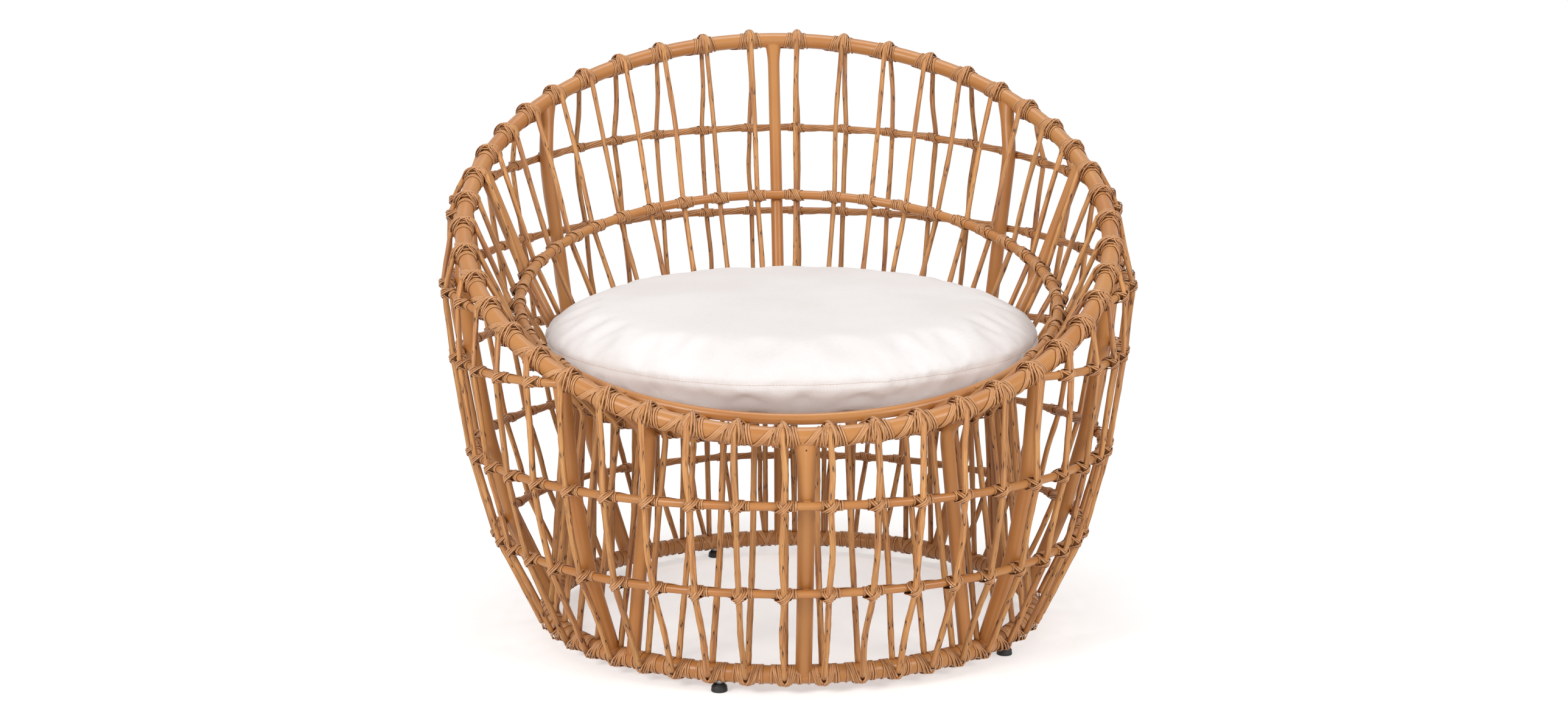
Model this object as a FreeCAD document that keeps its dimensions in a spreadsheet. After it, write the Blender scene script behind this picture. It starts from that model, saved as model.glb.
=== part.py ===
import FreeCAD, Part

import math
import os
import re

import Sketcher
from FreeCAD import Placement, Rotation, Vector

# Round garden tub chair: a double walled open basket of round poles on a welded
# tube frame, with a loose round cushion and five levelling feet. All sizes are in
# millimetres. The chair faces -Y and is symmetrical in X.

os.makedirs("parts", exist_ok=True)
doc = FreeCAD.newDocument("tub_chair")

SIZES = {
    # poles of the basket
    "strand_count": 46,
    "strand_thickness": 6.5,
    "strand_sweep": 6,
    "strand_tail": 6,
    # degrees over which the end of a hoop that runs only round the back is drawn
    # in to the rim
    "arc_end_turn": 24,
    # rings and hoops: radius, height over the base ring at the chair's axis, slope
    # in degrees (up towards the back) and thickness
    "base_radius": 295,
    "base_thickness": 20,
    "low_radius": 351,
    "low_height": 106,
    "mid_radius": 377,
    "mid_height": 206,
    "arm_radius": 393,
    "arm_height": 318,
    "rear_radius": 402,
    "rear_height": 403,
    "rear_slope": 6.4,
    "top_radius": 410,
    "top_height": 474,
    "top_slope": 12.4,
    "hoop_thickness": 9,
    "rim_radius": 388,
    "rim_height": 464,
    "rim_slope": 27.9,
    "rim_setback": 30,
    "rim_thickness": 20,
    "inner_radius": 322,
    "inner_height": 381,
    "inner_slope": 16.4,
    "inner_thickness": 12,
    "seat_radius": 258,
    "seat_height": 270,
    "seat_slope": 3.6,
    "seat_thickness": 16,
    # posts and seat bars
    "post_thickness": 18,
    "inner_post_thickness": 16,
    "bar_thickness": 13,
    "bar_count": 4,
    "bar_spacing": 110,
    # cushion
    "cushion_radius": 294,
    "cushion_thickness": 88,
    "cushion_edge_round": 24,
    "cushion_forward": 12,
    # levelling feet
    "foot_count": 5,
    "foot_angle": 18,
    "pad_radius": 9,
    "pad_height": 9,
    "pad_gap": 2.4,
    "stud_radius": 3.9,
    "stud_length": 21,
    "stud_in_pad": 6,
    "insert_radius": 6,
    "insert_length": 14,
    "thread_clearance": 0.15,
    # gap that stands for touching faces, and the room a lashed pole has beside a tube
    "clearance": 0.3,
    "lashing_gap": 0.6,
}

sheet = doc.addObject("Spreadsheet::Sheet", "sizes")
for row, (alias, value) in enumerate(SIZES.items(), start=1):
    sheet.set("A%d" % row, alias.replace("_", " "))
    sheet.set("B%d" % row, str(value))
    sheet.setAlias("B%d" % row, alias)
doc.recompute()


def size(alias):
    return float(sheet.get(alias))


def fail(message):
    raise RuntimeError(message)


STRANDS = int(size("strand_count"))
PITCH = 2 * math.pi / STRANDS
CLEARANCE = size("clearance")
LASHING = size("lashing_gap")
STRAND = size("strand_thickness") / 2
HOOP = size("hoop_thickness") / 2
POST = size("post_thickness") / 2
INNER_POST = size("inner_post_thickness") / 2
BAR = size("bar_thickness") / 2
PAD_TOP = size("pad_height")
BASE_CENTRE = PAD_TOP + size("pad_gap") + size("base_thickness") / 2

# Sides of the prisms that stand for thick tubes, thin tubes and turned pieces.
THICK = 8
THIN = 6
TURNED = 12


# Rings and hoops. Azimuth is measured from the chair's front towards +X. The poles
# sweep a little forwards as they climb, most at the sides, so every station on a
# ring takes its azimuth through swept().

class Ring:
    def __init__(self, name, radius, height, slope=0.0, thickness=0.0, setback=0.0):
        self.name = name
        self.radius = radius
        self.height = height
        self.rise = math.tan(math.radians(slope))
        self.tube = thickness / 2
        self.setback = setback
        self.starts = None

    def plain(self, azimuth):
        y = self.setback - self.radius * math.cos(azimuth)
        return Vector(self.radius * math.sin(azimuth), y, self.height + self.rise * y)

    def point(self, azimuth):
        spot = self.plain(swept(azimuth, self.plain(azimuth).z))
        if self.starts is None:
            return spot
        return self.drawn_in(azimuth, spot)

    def drawn_in(self, azimuth, spot):
        """An arc's ends bend in over the last stretch to meet the rim."""
        left = abs(math.remainder(azimuth, 2 * math.pi)) - self.starts
        share = 1 - left / math.radians(size("arc_end_turn"))
        share = max(0.0, min(1.0, share)) ** 2
        target = rim.point(azimuth)
        target.z = spot.z + (rim.point(self.starts).z - spot.z) * share
        return spot * (1 - share) + target * share

    def crosses(self, azimuth):
        if self.starts is None:
            return True
        gap = rim.point(azimuth).z - self.point(azimuth).z
        inside = abs(math.remainder(azimuth, 2 * math.pi)) > self.starts + PITCH / 4
        return inside and gap > self.tube + 2 * STRAND


def swept(azimuth, height):
    """The second term draws the sweep in towards the chair's sides."""
    sweep = math.radians(size("strand_sweep")) * height / size("rim_height")
    towards_sides = 0.2
    return azimuth - sweep * (math.sin(azimuth) + towards_sides * math.sin(3 * azimuth))


base = Ring("base_ring", size("base_radius"), 0, 0, size("base_thickness"))
low = Ring("low_hoop", size("low_radius"), size("low_height"), 0, 2 * HOOP)
mid = Ring("middle_hoop", size("mid_radius"), size("mid_height"), 0, 2 * HOOP)
arm = Ring("arm_hoop", size("arm_radius"), size("arm_height"), 0, 2 * HOOP)
rear = Ring("rear_hoop", size("rear_radius"), size("rear_height"),
            size("rear_slope"), 2 * HOOP)
top = Ring("top_hoop", size("top_radius"), size("top_height"),
           size("top_slope"), 2 * HOOP)
rim = Ring("rim_tube", size("rim_radius"), size("rim_height"), size("rim_slope"),
           size("rim_thickness"), size("rim_setback"))
inner = Ring("inner_hoop", size("inner_radius"), size("inner_height"),
             size("inner_slope"), size("inner_thickness"))
seat = Ring("seat_ring", size("seat_radius"), size("seat_height"),
            size("seat_slope"), size("seat_thickness"))
ARCS = [arm, rear, top]
OUTER_HOOPS = [low, mid] + ARCS


def meeting_azimuth(arc):
    """Where a hoop that runs only round the back reaches the rim's height."""
    front, back = 0.0, math.pi
    halvings = 40
    for _ in range(halvings):
        middle = (front + back) / 2
        if rim.plain(middle).z < arc.plain(middle).z:
            front = middle
        else:
            back = middle
    return back


for arc in ARCS:
    arc.starts = meeting_azimuth(arc) + PITCH / 2


# Tubes are mitred from straight prisms, so every face is flat. A section has the
# area of the round tube that it stands for, and one flat faces `facing`.

def section(centre, along, facing, radius, sides):
    across = facing - along * facing.dot(along)
    across.normalize()
    other = along.cross(across)
    corner = radius * math.sqrt(2 * math.pi / (sides * math.sin(2 * math.pi / sides)))
    ring = []
    for side in range(sides):
        angle = (side + 0.5) * 2 * math.pi / sides
        ring.append(centre + across * (corner * math.cos(angle))
                    + other * (corner * math.sin(angle)))
    return ring


def carried(ring, along, spot, normal):
    """A section slid along its tube until it lies in the plane at spot."""
    return [p + along * ((spot - p).dot(normal) / along.dot(normal)) for p in ring]


def tube(points, radius, facing, sides=THIN, closed=False):
    count = len(points)
    spans = []
    for i in range(count if closed else count - 1):
        step = points[(i + 1) % count] - points[i]
        spans.append(step.normalize())
    planes = []
    for i in range(count):
        if closed or 0 < i < count - 1:
            plane = spans[i - 1] + spans[i]
        else:
            plane = spans[0] if i == 0 else spans[-1]
        planes.append(plane.normalize())
    ring = section(points[0], spans[0], facing, radius, sides)
    rings = [carried(ring, spans[0], points[0], planes[0])]
    for i, along in enumerate(spans):
        stop = (i + 1) % count
        rings.append(carried(rings[-1], along, points[stop], planes[stop]))
    if closed:
        rings[-1] = rings[0]
    faces = []
    for start, stop in zip(rings, rings[1:]):
        for side in range(sides):
            after = (side + 1) % sides
            outline = [start[side], start[after], stop[after], stop[side], start[side]]
            faces.append(Part.Face(Part.makePolygon(outline)))
    if not closed:
        for end in (rings[0], rings[-1]):
            faces.append(Part.Face(Part.makePolygon(end + end[:1])))
    solid = Part.makeSolid(Part.makeShell(faces))
    if solid.Volume < 0:
        solid.reverse()
    return solid


def ring_tube(ring, azimuths, sides, closed=True, extra=0.0):
    points = [ring.point(azimuth) for azimuth in azimuths]
    centre = Vector(0, ring.setback, ring.height + ring.rise * ring.setback)
    return tube(points, ring.tube + extra, points[0] - centre, sides, closed)


def strand_azimuths():
    return [(k + 0.5) * PITCH for k in range(STRANDS)]


def half_step_azimuths():
    return [k * PITCH / 2 for k in range(2 * STRANDS)]


def near(ring, azimuth):
    """A short stretch of a ring with the joint's clearance, used to cope what
    is welded on there."""
    spans = 5
    azimuths = [azimuth + k * PITCH / 2 for k in range(-spans, spans + 1)]
    return ring_tube(ring, azimuths, THICK, closed=False, extra=CLEARANCE)


# A pole or post is routed past the rings in its own upright plane, where x is the
# distance from the chair's axis. Each stop is a ring and how far beside the ring's
# centre line it runs, outwards positive. Where it bends round a ring, its legs keep
# that distance too.

def route(azimuth, stops):
    spots = [ring.point(azimuth) for ring, _ in stops]
    azimuths = [math.atan2(spot.x, -spot.y) for spot in spots]
    rings = [Vector(math.hypot(spot.x, spot.y), 0, spot.z) for spot in spots]
    path = list(rings)
    last = len(path) - 1
    passes = 4
    for _ in range(passes):
        moved = []
        for i, (_, beside) in enumerate(stops):
            leg_in = path[i] - path[max(i - 1, 0)]
            leg_out = path[min(i + 1, last)] - path[i]
            along = (leg_in + leg_out).normalize()
            out = Vector(along.z, 0, -along.x)
            inwards = leg_in.x * leg_out.z - leg_in.z * leg_out.x
            if inwards * beside > 0:
                beside /= leg_out.normalize().dot(along)
            moved.append(rings[i] + out * beside)
        path = moved
    return [upright(spot.x, azimuth, spot.z) for spot, azimuth in zip(path, azimuths)]


def upright(r, azimuth, z):
    return Vector(r * math.sin(azimuth), -r * math.cos(azimuth), z)


def lengthened(points, first=0.0, last=0.0):
    head = (points[0] - points[1]).normalize() * first
    tail = (points[-1] - points[-2]).normalize() * last
    return [points[0] + head] + points[1:-1] + [points[-1] + tail]


def outward(azimuth):
    return Vector(math.sin(azimuth), -math.cos(azimuth), 0)


def outer_strand(azimuth):
    stops = [(base, base.tube + LASHING + STRAND)]
    for hoop in OUTER_HOOPS:
        if hoop.crosses(azimuth):
            stops.append((hoop, hoop.tube + LASHING + STRAND))
    stops.append((rim, rim.tube + LASHING + STRAND))
    points = lengthened(route(azimuth, stops), size("strand_tail"), size("strand_tail"))
    return tube(points, STRAND, outward(azimuth))


def inner_strand(azimuth):
    """Its foot butts on the base ring, or on a post where one stands in its way."""
    stops = [(base, 0.0),
             (seat, seat.tube + CLEARANCE + STRAND),
             (inner, inner.tube + LASHING + STRAND),
             (rim, -(rim.tube + LASHING + STRAND))]
    points = lengthened(route(azimuth, stops), -(base.tube + CLEARANCE), size("strand_tail"))
    strand = tube(points, STRAND, outward(azimuth))
    for degrees in OUTER_POSTS.values():
        aside = math.remainder(azimuth - math.radians(degrees), 2 * math.pi)
        if abs(aside) < PITCH / 2:
            strand = biggest(strand.cut(post_blank(math.radians(degrees), CLEARANCE)))
    return strand


def post_blank(azimuth, extra=0.0):
    stops = [(base, 0.0)]
    for hoop in OUTER_HOOPS:
        if hoop.crosses(azimuth):
            stops.append((hoop, -(hoop.tube + CLEARANCE + POST)))
    stops.append((rim, 0.0))
    return tube(route(azimuth, stops), POST + extra, outward(azimuth), THICK)


def outer_post(azimuth):
    return post_blank(azimuth).cut(near(base, azimuth)).cut(near(rim, azimuth))


def inner_post(azimuth):
    stops = [(base, 0.0),
             (seat, seat.tube + CLEARANCE + INNER_POST),
             (inner, inner.tube + CLEARANCE + INNER_POST),
             (rim, 0.0)]
    post = tube(route(azimuth, stops), INNER_POST, outward(azimuth), THICK)
    return post.cut(near(base, azimuth)).cut(near(rim, azimuth))


def arc_hoop(arc):
    """Its ends are coped to the rim, and to a post that stands close by."""
    ends = (arc.starts, 2 * math.pi - arc.starts)
    margin = PITCH / 4
    stations = [a for a in strand_azimuths() if ends[0] + margin < a < ends[1] - margin]
    turns = [ends[0]] + stations + [ends[1]]
    points = [arc.point(azimuth) for azimuth in turns]
    points[0] = rim.point(turns[0])
    points[-1] = rim.point(turns[-1])
    hoop = tube(points, arc.tube, outward(turns[0]))
    for end in ends:
        hoop = hoop.cut(near(rim, end))
    for degrees in OUTER_POSTS.values():
        if 0 < math.radians(abs(degrees)) - arc.starts < PITCH:
            hoop = hoop.cut(post_blank(math.radians(degrees), CLEARANCE))
    return hoop


def biggest(shape):
    """The piece that stays when coping has cut a tube's end off."""
    return max(shape.Solids, key=lambda solid: solid.Volume)


# Posts of the outer wall, at eighths of a turn but for the back, and of the inner
# wall, each midway between two poles: azimuths in degrees and in poles.

OUTER_POSTS = {
    "post_front": 0,
    "post_front_right": 45,
    "post_side_right": 90,
    "post_back_right": 135,
    "post_back_left": -135,
    "post_side_left": -90,
    "post_front_left": -45,
}
INNER_POSTS = {
    "inner_post_front_right": 5,
    "inner_post_rear_right": 14,
    "inner_post_back": 23,
    "inner_post_rear_left": -14,
    "inner_post_front_left": -5,
}

# Everything is modelled round the base ring's centre and then set down on the
# floor, centred front to back.

nodes = []


def feature(label, shape):
    node = doc.addObject("Part::Feature", label)
    node.Shape = shape
    nodes.append(node)
    return node


def drilled(shape, radius, depth):
    """Blind holes for the feet's inserts, cut from below the ring."""
    overrun = base.tube
    for azimuth in foot_azimuths():
        start = upright(size("base_radius"), azimuth, -base.tube - overrun)
        bottom = upright(size("base_radius"), azimuth, depth - base.tube)
        shape = shape.cut(tube([start, bottom], radius, outward(azimuth), TURNED))
    return shape


def foot_azimuths():
    count = int(size("foot_count"))
    turn = math.radians(size("foot_angle"))
    return [2 * math.pi * k / count - turn for k in range(count)]


# Frame: rim, rings and hoops.

base_shape = ring_tube(base, half_step_azimuths(), THICK)
base_shape = drilled(base_shape, size("insert_radius") + CLEARANCE,
                     size("insert_length") + CLEARANCE)
feature(base.name, base_shape)
feature(rim.name, ring_tube(rim, half_step_azimuths(), THICK))
for ring in (low, mid, inner, seat):
    feature(ring.name, ring_tube(ring, strand_azimuths(), THIN))
for arc in ARCS:
    feature(arc.name, biggest(arc_hoop(arc)))

for label, degrees in OUTER_POSTS.items():
    feature(label, biggest(outer_post(math.radians(degrees))))
for label, pitches in INNER_POSTS.items():
    feature(label, biggest(inner_post(pitches * PITCH)))


# Seat bars: they lie on the seat ring from front to back, side by side.

def seat_bars():
    bars = []
    lift = seat.tube + LASHING + BAR
    for k in range(int(size("bar_count"))):
        x = (k - (size("bar_count") - 1) / 2) * size("bar_spacing")
        reach = math.sqrt(size("seat_radius") ** 2 - x ** 2) + seat.tube / 2
        ends = [Vector(x, y, seat.height + seat.rise * y + lift) for y in (-reach, reach)]
        bars.append(tube(ends, BAR, Vector(0, 0, 1)))
    return Part.makeCompound(bars)


feature("seat_bars", seat_bars())


# Poles, in eight sectors of the wall.

SECTORS = ["front_right", "side_front_right", "side_rear_right", "back_right",
           "back_left", "side_rear_left", "side_front_left", "front_left"]


def sector_name(layer, azimuth):
    turn = 2 * math.pi / len(SECTORS)
    return "%s_strands_%s" % (layer, SECTORS[int(azimuth / turn)])


for layer, pole in (("outer", outer_strand), ("inner", inner_strand)):
    sectors = {}
    for azimuth in strand_azimuths():
        sectors.setdefault(sector_name(layer, azimuth), []).append(pole(azimuth))
    for label, poles in sectors.items():
        feature(label, Part.makeCompound(poles))


# Levelling feet: a pad that turns with its stud, and a threaded insert in the base
# ring. Turned pieces are prisms of TURNED sides.

def bind(thing, **rules):
    """Binds properties to rules written in the sheet's aliases."""
    for name, rule in rules.items():
        thing.setExpression(name, re.sub(r"([a-z]+_[a-z_]+)", r"sizes.\1", rule))


def turned(label, radius, height):
    piece = doc.addObject("Part::Prism", label)
    piece.Polygon = TURNED
    bind(piece, Circumradius=radius, Height=height)
    return piece


def bored(label, blank, radius, floor, length):
    """A blank with a bore, up from a floor, that clears a turned piece of this radius."""
    tool = turned(label + "_bore", "( %s ) / cos(180 deg / %d)" % (radius, TURNED), length)
    bind(tool, **{"Placement.Base.z": floor})
    piece = doc.addObject("Part::Cut", label)
    piece.Base = blank
    piece.Tool = tool
    return piece


def foot_pad(label):
    blank = turned(label + "_blank", "pad_radius", "pad_height")
    floor = "pad_height - stud_in_pad - thread_clearance"
    return bored(label, blank, "stud_radius + thread_clearance", floor, "2 * stud_in_pad")


def foot_stud(label):
    return turned(label, "stud_radius", "stud_length")


def foot_insert(label):
    blank = turned(label + "_blank", "insert_radius", "insert_length")
    through = "2 * insert_length"
    return bored(label, blank, "stud_radius + thread_clearance", "-insert_length / 2", through)


# The cushion is turned from half a section in the XZ plane: a flat sole, sides that
# bulge out to the seam and draw in above it, and a low crown.

# Degrees round the bulging lower side and round the shoulder above the seam, and
# shares of the shoulder's radius along the crown.
SIDE_TURNS = (0, 22.5, 45, 67.5, 90)
SHOULDER_TURNS = (27, 54, 81)
CROWN_SHARES = (0.75, 0.5, 0.25, 0)
ON_AXIS = 1e-6


def cushion_corners():
    half = "cushion_thickness / 2"
    edge = "cushion_edge_round"
    corners = [("0", "0")]
    for turn in SIDE_TURNS:
        corners.append((
            "cushion_radius - %s * (1 - sin(%g deg))" % (half, turn),
            "%s * (1 - cos(%g deg))" % (half, turn)))
    for turn in SHOULDER_TURNS:
        corners.append((
            "cushion_radius - %s * (1 - cos(%g deg))" % (edge, turn),
            "%s + %s * sin(%g deg)" % (half, edge, turn)))
    shoulder, height = corners[-1]
    for share in CROWN_SHARES:
        corners.append((
            "(%s) * %g" % (shoulder, share),
            "cushion_thickness - (cushion_thickness - (%s)) * %g" % (height, share ** 2)))
    return corners


def hold(sketch, line, kind, rule, axis):
    """Holds a line's end to the sheet, or to the axis where the rule comes to 0."""
    value = float(sheet.evalExpression(rule))
    if abs(value) < ON_AXIS:
        sketch.addConstraint(Sketcher.Constraint("PointOnObject", line, 2, axis))
        return
    index = sketch.addConstraint(Sketcher.Constraint(kind, -1, 1, line, 2, value))
    bind(sketch, **{"Constraints[%d]" % index: rule})


def cushion(label):
    body = doc.addObject("PartDesign::Body", label)
    sketch = body.newObject("Sketcher::SketchObject", label + "_section")
    planes = [plane for plane in body.Origin.OriginFeatures if plane.Role == "XZ_Plane"]
    sketch.AttachmentSupport = [(planes[0], "")]
    sketch.MapMode = "FlatFace"
    rules = cushion_corners()
    spots = [Vector(float(sheet.evalExpression(across)), float(sheet.evalExpression(up)), 0)
             for across, up in rules]
    count = len(spots)
    for line in range(count):
        sketch.addGeometry(Part.LineSegment(spots[line - 1], spots[line]), False)
    for line in range(count):
        before = (line - 1) % count
        sketch.addConstraint(Sketcher.Constraint("Coincident", before, 2, line, 1))
    for line, (across, up) in enumerate(rules):
        hold(sketch, line, "DistanceX", across, -2)
        hold(sketch, line, "DistanceY", up, -1)
    turn = body.newObject("PartDesign::Revolution", label + "_turned")
    turn.Profile = sketch
    turn.ReferenceAxis = (sketch, ["V_Axis"])
    turn.Angle = 360
    body.Tip = turn
    return body


# The feet stand under the base ring with their studs in its inserts. The cushion
# lies on the bars, tilted with them.

feet = []
stud_foot = PAD_TOP - size("stud_in_pad")
for number, azimuth in enumerate(foot_azimuths(), start=1):
    spot = upright(size("base_radius"), azimuth, 0)
    for part, maker, lift in (
            ("pad", foot_pad, -BASE_CENTRE),
            ("stud", foot_stud, stud_foot - BASE_CENTRE),
            ("insert", foot_insert, -base.tube)):
        piece = maker("foot_%d_%s" % (number, part))
        feet.append((piece, spot + Vector(0, 0, lift)))

loose = cushion("cushion")
tilt = Rotation(Vector(1, 0, 0), math.degrees(math.atan(seat.rise)))
over_bars = seat.tube + LASHING + 2 * BAR + CLEARANCE
lies_at = Vector(0, -size("cushion_forward"), 0)
lies_at.z = seat.height + seat.rise * lies_at.y
lies_at += tilt.multVec(Vector(0, 0, over_bars))
doc.recompute()

# Set down on the floor, centred front to back.

walls = [node.Shape.BoundBox for node in nodes]
middle = (min(b.YMin for b in walls) + max(b.YMax for b in walls)) / 2
down = Vector(0, -middle, BASE_CENTRE)
for node in nodes:
    node.Placement = Placement(down, Rotation())
for piece, spot in feet:
    piece.Placement = Placement(down + spot, Rotation())
loose.Placement = Placement(down + lies_at, tilt)
nodes += [piece for piece, _ in feet] + [loose]
doc.recompute()

# Checks, then one STEP file for each sub-part.

for thing in doc.Objects:
    if "Invalid" in thing.State or "Error" in thing.State:
        fail("%s did not build" % thing.Label)
for node in nodes:
    if node.Shape.isNull() or not node.Shape.isValid():
        fail("%s has no sound shape" % node.Label)
for node in nodes:
    node.Shape.exportStep("parts/%s.step" % node.Label)
whole = Part.makeCompound([node.Shape for node in nodes]).BoundBox
print("%d sub-parts" % len(nodes))
print("size %.1f x %.1f x %.1f mm" % (whole.XLength, whole.YLength, whole.ZLength))
print("floor at %.2f, front at %.1f, back at %.1f" % (whole.ZMin, whole.YMin, whole.YMax))
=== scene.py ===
import math

import bmesh
import bpy
import numpy as np
from mathutils import Matrix, Vector
from mathutils.bvhtree import BVHTree


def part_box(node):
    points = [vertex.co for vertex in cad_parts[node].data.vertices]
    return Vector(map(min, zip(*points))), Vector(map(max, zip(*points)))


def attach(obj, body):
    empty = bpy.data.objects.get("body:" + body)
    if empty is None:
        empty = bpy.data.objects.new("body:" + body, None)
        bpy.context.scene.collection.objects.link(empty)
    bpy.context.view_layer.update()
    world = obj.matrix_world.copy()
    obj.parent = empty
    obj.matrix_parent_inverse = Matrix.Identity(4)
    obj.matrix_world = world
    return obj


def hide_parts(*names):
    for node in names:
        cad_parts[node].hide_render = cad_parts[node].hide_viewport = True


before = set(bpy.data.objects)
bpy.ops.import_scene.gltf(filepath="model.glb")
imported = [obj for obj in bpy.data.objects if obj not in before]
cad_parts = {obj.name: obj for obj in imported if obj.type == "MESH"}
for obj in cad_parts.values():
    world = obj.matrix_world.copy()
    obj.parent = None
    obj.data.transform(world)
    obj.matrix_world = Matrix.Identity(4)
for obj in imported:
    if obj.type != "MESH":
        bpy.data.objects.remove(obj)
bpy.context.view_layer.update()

# A round garden tub chair: an open basket of peeled willow poles in two walls,
# lashed with split cane to a welded frame of coated steel tube, with a loose round
# cushion. Lengths are in metres. The chair faces -Y and azimuth runs from its
# front towards +X.

MM = 0.001


# Rim tube: round steel tube, rolled and powder coated in a warm tan, closed in one
# weld at the back. It is low in front and climbs to the top of the back, and the
# poles of both walls end on it.

RIM_RADIUS = 388 * MM
RIM_HEIGHT = 464 * MM
RIM_SLOPE = math.radians(27.9)
RIM_SETBACK = 30 * MM
RIM_THICKNESS = 20 * MM
SWEEP = math.radians(6)

ring_low, ring_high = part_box("base_ring")
HUB = np.array([0, (ring_low.y + ring_high.y) / 2, (ring_low.z + ring_high.z) / 2])


def swept(azimuth, height):
    """Poles lean forwards as they climb, most at the chair's sides."""
    sweep = SWEEP * height / RIM_HEIGHT
    return azimuth - sweep * (np.sin(azimuth) + np.sin(3 * azimuth) / 5)


class Ring:
    """A tube round the chair: a circle in plan whose height rises towards the back."""

    def __init__(self, radius, height, slope, thickness, setback=0.0):
        self.radius = radius
        self.height = height
        self.rise = math.tan(slope)
        self.tube = thickness / 2
        self.setback = setback
        self.starts = None

    def plain(self, azimuth):
        x = self.radius * np.sin(azimuth)
        y = self.setback - self.radius * np.cos(azimuth)
        return np.stack([x, y, self.height + self.rise * y], -1)

    def at(self, azimuth):
        """Spots on the tube's centre line. The last 24 degrees of a tube that runs
        only round the back are drawn in to the rim."""
        azimuth = np.asarray(azimuth, float)
        spot = self.plain(swept(azimuth, self.plain(azimuth)[..., 2]))
        if self.starts is None:
            return spot
        stretch = math.radians(24)
        left = np.abs(np.mod(azimuth + np.pi, 2 * np.pi) - np.pi) - self.starts
        share = np.clip(1 - left / stretch, 0, 1)[..., None] ** 2
        target = rim.at(azimuth)
        climb = rim.at(self.starts)[2] - spot[..., 2:]
        target[..., 2:] = spot[..., 2:] + climb * share
        return spot * (1 - share) + target * share

    def axes(self, azimuth):
        """Along the tube, out from the chair and up, each a unit vector."""
        step = 0.002
        along = unit(self.at(np.asarray(azimuth) + step) - self.at(np.asarray(azimuth) - step))
        radial = np.stack([np.sin(azimuth), -np.cos(azimuth), 0 * np.asarray(azimuth)], -1)
        up = unit(np.cross(radial, along))
        return along, np.cross(along, up), up


def unit(vectors):
    return vectors / np.linalg.norm(vectors, axis=-1, keepdims=True)


def measured(points):
    """How far along a path each of its points lies."""
    steps = np.linalg.norm(np.diff(points, axis=0), axis=1)
    return np.concatenate([[0], np.cumsum(steps)])


def round_section(sides):
    turn = np.arange(sides) * 2 * np.pi / sides
    return np.stack([np.sin(turn), np.cos(turn)], -1)


def made(bm, name):
    """A new mesh of a bmesh that is done with."""
    mesh = bpy.data.meshes.new(name)
    bm.to_mesh(mesh)
    bm.free()
    return mesh


def corner_points(mesh):
    """Which point each face corner of a mesh stands on."""
    corners = np.zeros(len(mesh.loops), np.int32)
    mesh.loops.foreach_get("vertex_index", corners)
    return corners


def swept_mesh(name, runs, section):
    """One mesh of tubes, one for each run of (points, outward, size) stations. A grid
    with a row for each station is cut between the runs, rolled up and welded. UVs are
    metres along the run and a share of the way round; `run` numbers the runs."""
    around = len(section)
    rows = sum(len(points) for points, _, _ in runs)
    bm = bmesh.new()
    bm.loops.layers.uv.new("UVMap")
    bmesh.ops.create_grid(bm, x_segments=around, y_segments=rows - 1, size=1, calc_uvs=True)
    bm.faces.ensure_lookup_table()
    ends = np.cumsum([len(points) for points, _, _ in runs])[:-1] - 1
    joins = [bm.faces[row * around + side] for row in ends for side in range(around)]
    bmesh.ops.delete(bm, geom=joins, context="FACES")
    mesh = made(bm, name)

    rolled = np.concatenate([section, section[:1]])
    places = []
    lengths = []
    numbers = []
    for number, (points, outward, size) in enumerate(runs):
        along = unit(tangents(points))
        side = unit(np.cross(along, outward))
        rise = np.cross(side, along)
        size = np.asarray(size, float).reshape(len(points), 1, -1)
        offsets = rolled[None] * size
        place = points[:, None] + side[:, None] * offsets[..., :1] + rise[:, None] * offsets[..., 1:]
        places.append(place.reshape(-1, 3))
        lengths.append(measured(points))
        numbers.append(np.full(len(points) * (around + 1), number))
    mesh.vertices.foreach_set("co", np.concatenate(places).astype(np.float32).ravel())
    run_number = mesh.attributes.new("run", "FLOAT", "POINT")
    run_number.data.foreach_set("value", np.concatenate(numbers).astype(np.float32))

    corners = corner_points(mesh)
    length = np.concatenate(lengths)[corners // (around + 1)]
    share = (corners % (around + 1)) / around
    mesh.uv_layers["UVMap"].data.foreach_set(
        "uv", np.stack([length, share], -1).astype(np.float32).ravel())

    bm = bmesh.new()
    bm.from_mesh(mesh)
    bmesh.ops.remove_doubles(bm, verts=bm.verts, dist=1e-7)
    open_edges = [edge for edge in bm.edges if edge.is_boundary]
    bmesh.ops.holes_fill(bm, edges=open_edges, sides=0)
    bmesh.ops.recalc_face_normals(bm, faces=bm.faces)
    bm.to_mesh(mesh)
    bm.free()
    mesh.shade_smooth()
    return mesh


def tangents(points):
    if np.allclose(points[0], points[-1]):
        ring = points[:-1]
        ahead = np.roll(ring, -1, axis=0) - np.roll(ring, 1, axis=0)
        return np.concatenate([ahead, ahead[:1]])
    return np.gradient(points, axis=0)


def placed(name, data):
    """A new object, linked to the scene."""
    thing = bpy.data.objects.new(name, data)
    bpy.context.scene.collection.objects.link(thing)
    return thing


def piece(name, mesh, material, slot, body, *nodes):
    """A finished mesh with its finish, tied to the frame."""
    thing = placed(name, mesh)
    mesh.materials.clear()
    mesh.materials.append(material)
    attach(thing, body)
    if nodes:
        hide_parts(*nodes)
    return thing


def colour(code):
    """A hex sRGB colour as the linear values that a shader takes."""
    parts = [int(code[i:i + 2], 16) / 255 for i in (0, 2, 4)]
    linear = [c / 12.92 if c <= 0.04045 else ((c + 0.055) / 1.055) ** 2.4 for c in parts]
    return (*linear, 1.0)


def new_material(name, **constants):
    """A material whose shader starts with these constants."""
    material = bpy.data.materials.new(name)
    material.use_nodes = True
    material.node_tree.nodes.clear()
    output = add(material, "OutputMaterial")
    shader = add(material, "BsdfPrincipled", **constants)
    join(material, shader.outputs[0], output, "Surface")
    return material, shader


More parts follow.
